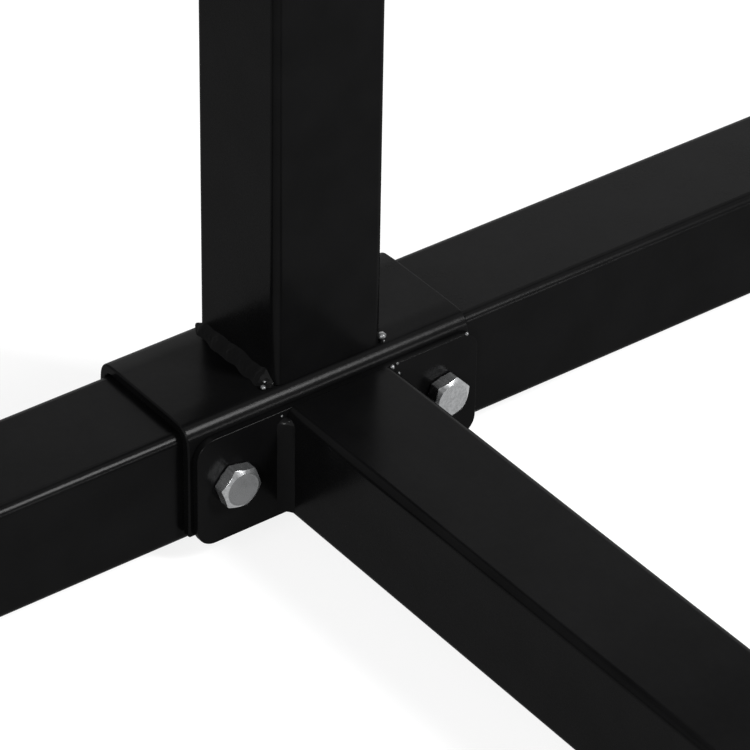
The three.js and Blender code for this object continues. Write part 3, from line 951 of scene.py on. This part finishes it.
def flange_nut(name, place):
    """A nut with its own flange, seated at its place and standing up from it."""
    sizes = bpy.context.scene.rack_fasteners
    rim = hexagon(sizes.nut_flats)
    top = trimmed(sizes.nut_height, rim, sizes.nut_flats / 2 * 0.9)
    bore = sizes.thread / 2 + 0.05 * MM
    flange = sizes.nut_flange / 2
    slope = 0.9
    rings = [
        (bore + 0.8 * MM, 0),
        (flange - 0.3 * MM, 0),
        (flange, 0.3 * MM),
        (flange, 1.2 * MM),
        (flange - 0.3 * MM, 1.5 * MM),
        (lambda angle: rim(angle) + 0.3 * MM, lambda angle: 1.5 * MM + (flange - rim(angle)) * slope),
        (rim, lambda angle: 2.0 * MM + (flange - rim(angle)) * slope),
        (rim, lambda angle: top(angle) - 0.15 * MM),
        (lambda angle: rim(angle) - 0.12 * MM, lambda angle: top(angle) - 0.02 * MM),
        (sizes.nut_flats / 2 * 0.88, sizes.nut_height),
        (bore + 0.9 * MM, sizes.nut_height),
        (bore, sizes.nut_height - 0.9 * MM),
        (bore, 0.8 * MM),
    ]
    return turned(name, rings, place, closed=True)


class RACK_OT_base_fasteners(bpy.types.Operator):
    """Bolts and nuts that clamp the beam's flanges, the saddles and the feet"""

    bl_idname = "rack.base_fasteners"
    bl_label = "Base fasteners"

    def execute(self, context):
        for (side, inward), (face, outward) in product(SIDES.items(), FACES.items()):
            turn = -18 * outward if inward > 0 else 11 * outward + 4
            fit_pair("base", f"{side}_{face}", bolt_place(side, face), turn)
        return {"FINISHED"}


def fit_pair(group, name, place, turn):
    """A bolt and its nut, in the places that the frame gives, turned as they stopped in degrees."""
    place = place @ Matrix.Rotation(math.radians(turn), 4, "Z")
    towards_head = (place.to_3x3() @ Z_AXIS).normalized()

    def depths(node):
        return [(place.translation - corner).dot(towards_head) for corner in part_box(node)]

    bolt_node = f"{group}_bolt_{name}"
    bolt = hex_bolt(f"{bolt_node}_m10", place, max(depths(bolt_node)))
    finish(bolt, "zinc", bolt_node, smooth_angle=28)
    nut_node = f"{group}_nut_{name}"
    over = Matrix.Rotation(math.pi, 4, "X") @ Matrix.Rotation(math.radians(2.3 * turn), 4, "Z")
    nut_place = place @ Matrix.Translation((0, 0, -min(depths(nut_node)))) @ over
    nut = flange_nut(f"{nut_node}_m10", nut_place)
    finish(nut, "zinc", nut_node, smooth_angle=28)


# Posts


class RACK_OT_posts(bpy.types.Operator):
    """Square tubes that carry the arms"""

    bl_idname = "rack.posts"
    bl_label = "Posts"

    def execute(self, context):
        tubes = context.scene.rack_tubes
        for side in SIDES:
            node = f"post_{side}"
            low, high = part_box(node)
            post = square_tube(f"{node}_tube", low, high, 2, tubes)
            places = [arm_bolt_place(side, tier, level) for tier, level in product(TIERS, LEVELS)]
            drill_holes(post, 4 * (high.y - low.y), places)
            finish(post, "powder_coat", node, edge=tubes.cut_edge)
        return {"FINISHED"}


class RACK_OT_caps(bpy.types.Operator):
    """Moulded caps in the posts' upper ends"""

    bl_idname = "rack.caps"
    bl_label = "Post caps"

    edge = 1.5 * MM
    crown = 0.3 * MM
    crown_share = 0.55
    skirt_wall = 2.5 * MM
    skirt_corner = 1.5 * MM
    lead_in = 1 * MM

    def execute(self, context):
        tubes = context.scene.rack_tubes
        fit = context.scene.rack_arms.fit
        steps = tubes.corner_steps
        for side in SIDES:
            node = f"post_cap_{side}"
            low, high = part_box(node)
            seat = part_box(f"post_{side}")[1].z
            centre = Vector(((low.x + high.x) / 2, (low.y + high.y) / 2, seat))
            place = Matrix.Translation(centre)
            width = high.x - low.x
            rise = high.z - seat
            depth = seat - low.z
            room = width - 2 * (tubes.wall + fit)

            def ring(size, corner, height):
                return set_ring(rounded_rectangle(size, size, corner, steps), height, place)

            inside = room - 2 * self.skirt_wall
            rings = [
                ring(inside, self.lead_in, rise / 2),
                ring(inside, self.lead_in, -depth),
                ring(room - self.lead_in, self.lead_in, -depth),
                ring(room, self.skirt_corner, self.lead_in - depth),
                ring(room, self.skirt_corner, 0),
                ring(width, tubes.corner, 0),
            ]
            for step in range(7):
                angle = step / 6 * math.pi / 2
                inset = self.edge * (1 - math.cos(angle))
                height = rise - self.crown - self.edge * (1 - math.sin(angle))
                rings.append(ring(width - 2 * inset, tubes.corner - inset, height))
            rings.append(ring(width * self.crown_share, tubes.corner, rise))
            cap = loft(f"{node}_moulding", rings)
            finish(cap, "moulded_plastic", node, smooth_angle=40)
        return {"FINISHED"}


# Arms and foam


def arm_line(start, end, bend_steps, run_step):
    """Stations of an arm from its post's face: (distance, height, angle of the line)."""
    sizes = bpy.context.scene.rack_arms
    bend_start = sizes.reach - sizes.bend
    stations = []
    run_count = max(1, round((bend_start - start) / run_step))
    for step in range(run_count):
        stations.append((start + (bend_start - start) * step / run_count, 0.0, 0.0))
    for step in range(bend_steps + 1):
        angle = step / bend_steps * math.pi / 2
        out = bend_start + sizes.bend * math.sin(angle)
        stations.append((out, sizes.bend * (1 - math.cos(angle)), angle))
    tip_count = max(1, round((end - sizes.bend) / run_step))
    for step in range(1, tip_count + 1):
        stations.append(
            (sizes.reach, sizes.bend + (end - sizes.bend) * step / tip_count, math.pi / 2)
        )
    return stations


def arm_ring(root, outward, station, radius, sides):
    """A ring of points round a station; its first half faces the inside of the bend."""
    distance, height, angle = station
    centre = root + Vector((0, outward * distance, height))
    inside = Vector((0, -outward * math.sin(angle), math.cos(angle)))
    ring = []
    for side in range(sides):
        turn = side * 2 * math.pi / sides
        size = radius(turn) if callable(radius) else radius
        ring.append(centre + size * (math.cos(turn) * X_AXIS + math.sin(turn) * inside))
    return ring


class RACK_OT_arms(bpy.types.Operator):
    """Bent round arms, welded on flange plates"""

    bl_idname = "rack.arms"
    bl_label = "Arms"

    def execute(self, context):
        sizes = context.scene.rack_arms
        plates = context.scene.rack_plates
        tubes = context.scene.rack_tubes
        sides = 64
        for side, tier, (face, outward) in product(SIDES, TIERS, FACES.items()):
            node = f"arm_{side}_{tier}_{face}"
            root = arm_root(side, tier, outward)
            low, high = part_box(node)
            tip = high.z - root.z
            wall = plates.arm_flange_wall
            stations = arm_line(wall / 2, tip, 28, 80 * MM)
            bore = sizes.tube / 2 - sizes.wall
            rings = [arm_ring(root, outward, s, sizes.tube / 2, sides) for s in stations]
            rings += [arm_ring(root, outward, s, bore, sides) for s in reversed(stations)]
            tube = loft(f"{node}_tube", rings, closed=True)
            finish(tube, "powder_coat", node, edge=tubes.cut_edge)
            place = place_at(root, outward * Y_AXIS, Z_AXIS)
            outline = rounded_rectangle(
                high.x - low.x, 2 * (root.z - low.z), plates.flange_corner, tubes.corner_steps
            )
            plate = prism(f"{node}_flange", outline, place, 0, wall)
            places = [arm_bolt_place(side, tier, level) for level in LEVELS]
            drill_holes(plate, 8 * wall + 2 * (high.y - low.y), places)
            finish(plate, "powder_coat", node, edge=plates.flange_edge)
            seat = root + outward * wall * Y_AXIS
            weld = weld_ring(
                f"{node}_weld", seat, outward * Y_AXIS, sizes.tube / 2,
                context.scene.rack_welds.arm_leg, 0.45, root.z * 7,
            )
            finish(weld, "powder_coat", node, smooth_angle=80)
        return {"FINISHED"}


def arm_root(side, tier, outward):
    """Where an arm's centre line meets the face of its post."""
    post_low, post_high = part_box(f"post_{side}")
    top = middle(f"arm_bolt_{side}_{tier}_top").z
    bottom = middle(f"arm_bolt_{side}_{tier}_bottom").z
    face_y = post_high.y if outward > 0 else post_low.y
    return Vector(((post_low.x + post_high.x) / 2, face_y, (top + bottom) / 2))


class RACK_OT_sleeves(bpy.types.Operator):
    """Foam sleeves, closed over the arms' tips, with creases inside the bend"""

    bl_idname = "rack.sleeves"
    bl_label = "Foam sleeves"

    # the skin's waves stay inside the node's box by the margin
    crease_height = 0.55 * MM
    crease_pitch = 7 * MM
    unevenness = 0.3 * MM
    unevenness_length = 40 * MM
    root_radius = 2 * MM
    margin = 0.1 * MM

    def execute(self, context):
        for side, tier, (face, outward) in product(SIDES, TIERS, FACES.items()):
            node = f"arm_sleeve_{side}_{tier}_{face}"
            self.sleeve(context, node, arm_root(side, tier, outward), outward)
        return {"FINISHED"}

    def sleeve(self, context, node, root, outward):
        sizes = context.scene.rack_arms
        low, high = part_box(node)
        start = (low.y if outward > 0 else -high.y) - abs(root.y)
        top = high.z - root.z
        bore = sizes.tube / 2 + sizes.fit
        outer = bore + sizes.foam_wall
        dome_base = top - sizes.foam_dome
        hollow_end = top - sizes.foam_end
        sides = 64
        travelled = 0.0
        last = None
        rings = []
        for station in arm_line(start, dome_base, 60, 12 * MM):
            spot = Vector((station[0], station[1], 0))
            travelled += (spot - last).length if last is not None else 0.0
            last = spot
            bent = math.sin(2 * station[2])
            edge = min(1.0, travelled / self.root_radius)
            rounding = self.root_radius * (1 - math.sqrt(1 - (1 - edge) ** 2))

            def skin(turn, station=station, bent=bent, travelled=travelled, rounding=rounding):
                inside = max(0.0, math.sin(turn)) ** 2
                wave = math.cos(2 * math.pi * travelled / self.crease_pitch)
                crease = self.crease_height * bent * inside * (0.5 + 0.5 * wave)
                away = travelled / self.unevenness_length + root.z
                place = Vector((math.cos(turn), math.sin(turn), away))
                uneven = self.unevenness * noise.noise(1.3 * place)
                return outer - rounding - crease + uneven - self.margin

            rings.append(arm_ring(root, outward, station, skin, sides))
        first = arm_line(start, dome_base, 60, 12 * MM)[0]
        rings.insert(0, arm_ring(root, outward, first, outer - 1.6 * self.root_radius, sides))
        for step in range(1, 12):
            angle = step / 12 * math.pi / 2
            station = (sizes.reach, dome_base + sizes.foam_dome * math.sin(angle), math.pi / 2)
            rings.append(arm_ring(root, outward, station, outer * math.cos(angle), sides))
        hollow = arm_line(start, hollow_end, 28, 80 * MM)
        inner = [arm_ring(root, outward, station, bore, sides) for station in reversed(hollow)]
        sleeve = loft(f"{node}_foam", inner + rings)
        finish(sleeve, "foam", node, smooth_angle=60)


class RACK_OT_arm_fasteners(bpy.types.Operator):
    """Bolts and nuts that clamp each pair of arms to its post"""

    bl_idname = "rack.arm_fasteners"
    bl_label = "Arm fasteners"

    def execute(self, context):
        for side, tier, level in product(SIDES, TIERS, LEVELS):
            name = f"{side}_{tier}_{level}"
            turn = len(name) * 37 % 60
            fit_pair("arm", name, arm_bolt_place(side, tier, level), turn)
        return {"FINISHED"}


# Stage

LAMPS = (
    # name, direction from the joint, distance, width, height, radiance
    ("key", (0.66, 0.385, 0.64), 2.6, 0.45, 0.95, 66.0),
    ("side", (0.885, 0.46, 0.055), 2.6, 0.70, 0.25, 19.0),
    ("corner", (0.65, -0.64, 0.40), 2.6, 0.40, 0.40, 75.0),
    ("wall", (-0.756, 0.567, 0.326), 5.5, 5.1, 3.15, 2.35),
    ("ceiling", (-0.12, 0.50, 0.86), 3.2, 3.2, 1.8, 1.0),
    ("fill", (0.15, -0.90, 0.41), 3.2, 2.4, 2.4, 2.7),
)


class RACK_OT_stage(bpy.types.Operator):
    """Pale floor, soft studio light and the picture's camera"""

    bl_idname = "rack.stage"
    bl_label = "Stage"

    def execute(self, context):
        settings = context.scene.rack_stage
        low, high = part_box("foot_left")
        joint = Vector(((low.x + high.x) / 2, (low.y + high.y) / 2, low.z))
        self.add_camera(context, settings, joint)
        self.add_world(context, settings)
        self.add_floor(context, settings)
        for name, direction, distance, width, height, radiance in LAMPS:
            data = bpy.data.lights.new(name, "AREA")
            data.shape = "RECTANGLE"
            data.size = width
            data.size_y = height
            data.energy = radiance * math.pi * width * height
            lamp = bpy.data.objects.new(name, data)
            towards = Vector(direction).normalized()
            lamp.location = joint + distance * towards
            lamp.rotation_euler = towards.to_track_quat("Z", "Y").to_euler()
            lamp.visible_camera = False
            context.scene.collection.objects.link(lamp)
        return {"FINISHED"}

    def add_camera(self, context, settings, joint):
        azimuth, elevation, roll = settings.azimuth, settings.elevation, settings.roll
        back = Vector((
            math.sin(azimuth) * math.cos(elevation),
            -math.cos(azimuth) * math.cos(elevation),
            math.sin(elevation),
        ))
        level = Z_AXIS.cross(back).normalized()
        upright = back.cross(level)
        right = level * math.cos(roll) + upright * math.sin(roll)
        up = upright * math.cos(roll) - level * math.sin(roll)
        metres = settings.distance / settings.focal_pixels
        aside = (settings.picture / 2 - settings.joint_pixel[0]) * metres
        above = (settings.joint_pixel[1] - settings.picture / 2) * metres
        data = bpy.data.cameras.new("camera")
        data.sensor_width = 36.0
        data.lens = settings.focal_pixels / settings.picture * data.sensor_width
        camera = bpy.data.objects.new("camera", data)
        turn = Matrix((right, up, back)).transposed().to_4x4()
        spot = joint + aside * right + above * up + settings.distance * back
        camera.matrix_world = Matrix.Translation(spot) @ turn
        context.scene.collection.objects.link(camera)
        context.scene.camera = camera
        context.scene.view_settings.view_transform = "Standard"

    def seen_directly(self, tree):
        """1 for rays from the camera, or by way of gloss or glass, and 0 for soft light."""
        path = tree.nodes.new("ShaderNodeLightPath")
        total = path.outputs["Is Camera Ray"]
        for name in ("Is Glossy Ray", "Is Transmission Ray"):
            total = calculate(tree, "MAXIMUM", total, path.outputs[name])
        return total

    def show(self, tree, output, soft, shown):
        """Lights the room by one shader, and shows another one to direct rays."""
        inputs = {"Fac": self.seen_directly(tree), 1: soft.outputs[0], 2: shown.outputs[0]}
        choice = add_node(tree, "ShaderNodeMixShader", inputs)
        tree.links.new(choice.outputs[0], tree.nodes[output].inputs["Surface"])

    def add_world(self, context, settings):
        world = bpy.data.worlds.new("studio")
        world.use_nodes = True
        tree = world.node_tree
        soft = tree.nodes["Background"]
        set_inputs(tree, soft, {"Color": WHITE, "Strength": settings.ambient})
        shown = add_node(tree, "ShaderNodeBackground", {"Color": WHITE, "Strength": 1.0})
        self.show(tree, "World Output", soft, shown)
        context.scene.world = world

    def add_floor(self, context, settings):
        reach = 40.0
        lamps_reach = (1.0, 4.0)
        corners = [(-reach, -reach, 0), (reach, -reach, 0), (reach, reach, 0), (-reach, reach, 0)]
        mesh = bpy.data.meshes.new("floor")
        mesh.from_pydata(corners, [], [(0, 1, 2, 3)])
        floor = bpy.data.objects.new("floor", mesh)
        context.scene.collection.objects.link(floor)
        material = bpy.data.materials.new("floor")
        material.use_nodes = True
        tree = material.node_tree
        tree.nodes.remove(tree.nodes["Principled BSDF"])
        grey = (*[settings.floor_grey] * 3, 1)
        soft = add_node(tree, "ShaderNodeBsdfDiffuse", {"Color": grey})
        place = tree.nodes.new("ShaderNodeTexCoord").outputs["Object"]
        away = add_node(tree, "ShaderNodeVectorMath", {0: place}, operation="LENGTH").outputs["Value"]
        lift = remap(tree, away, settings.floor_lift, settings.floor_far_lift, lamps_reach)
        glow = add_node(tree, "ShaderNodeEmission", {"Strength": lift})
        lifted = add_node(tree, "ShaderNodeAddShader", {0: soft.outputs[0], 1: glow.outputs[0]})
        self.show(tree, "Material Output", soft, lifted)
        mesh.materials.append(material)


# Add-on

SETTINGS = {
    "rack_tubes": TubeSizes,
    "rack_plates": PlateSizes,
    "rack_welds": WeldSizes,
    "rack_fasteners": FastenerSizes,
    "rack_arms": ArmSizes,
    "rack_finishes": Finishes,
    "rack_stage": StageSettings,
}

OPERATORS = (
    RACK_OT_stage,
    RACK_OT_feet,
    RACK_OT_boots,
    RACK_OT_saddles,
    RACK_OT_beam,
    RACK_OT_flanges,
    RACK_OT_base_fasteners,
    RACK_OT_posts,
    RACK_OT_caps,
    RACK_OT_arms,
    RACK_OT_sleeves,
    RACK_OT_arm_fasteners,
)


class RACK_PT_panel(bpy.types.Panel):
    """Lists the rack's pieces and the sizes that shape them"""

    bl_idname = "RACK_PT_panel"
    bl_label = "Kayak rack"
    bl_space_type = "VIEW_3D"
    bl_region_type = "UI"
    bl_category = "Kayak rack"

    def draw(self, context):
        for operator in OPERATORS:
            self.layout.operator(operator.bl_idname)
        for setting, group in SETTINGS.items():
            box = self.layout.box()
            box.label(text=group.__name__)
            for name in group.__annotations__:
                box.prop(getattr(context.scene, setting), name)


def register():
    for setting, group in SETTINGS.items():
        bpy.utils.register_class(group)
        setattr(bpy.types.Scene, setting, PointerProperty(type=group))
    for operator in OPERATORS:
        bpy.utils.register_class(operator)
    bpy.utils.register_class(RACK_PT_panel)


def unregister():
    bpy.utils.unregister_class(RACK_PT_panel)
    for operator in reversed(OPERATORS):
        bpy.utils.unregister_class(operator)
    for setting, group in reversed(SETTINGS.items()):
        delattr(bpy.types.Scene, setting)
        bpy.utils.unregister_class(group)


def main():
    register()
    for operator in OPERATORS:
        family, action = operator.bl_idname.split(".")
        getattr(getattr(bpy.ops, family), action)()


if __name__ == "__main__":
    main()
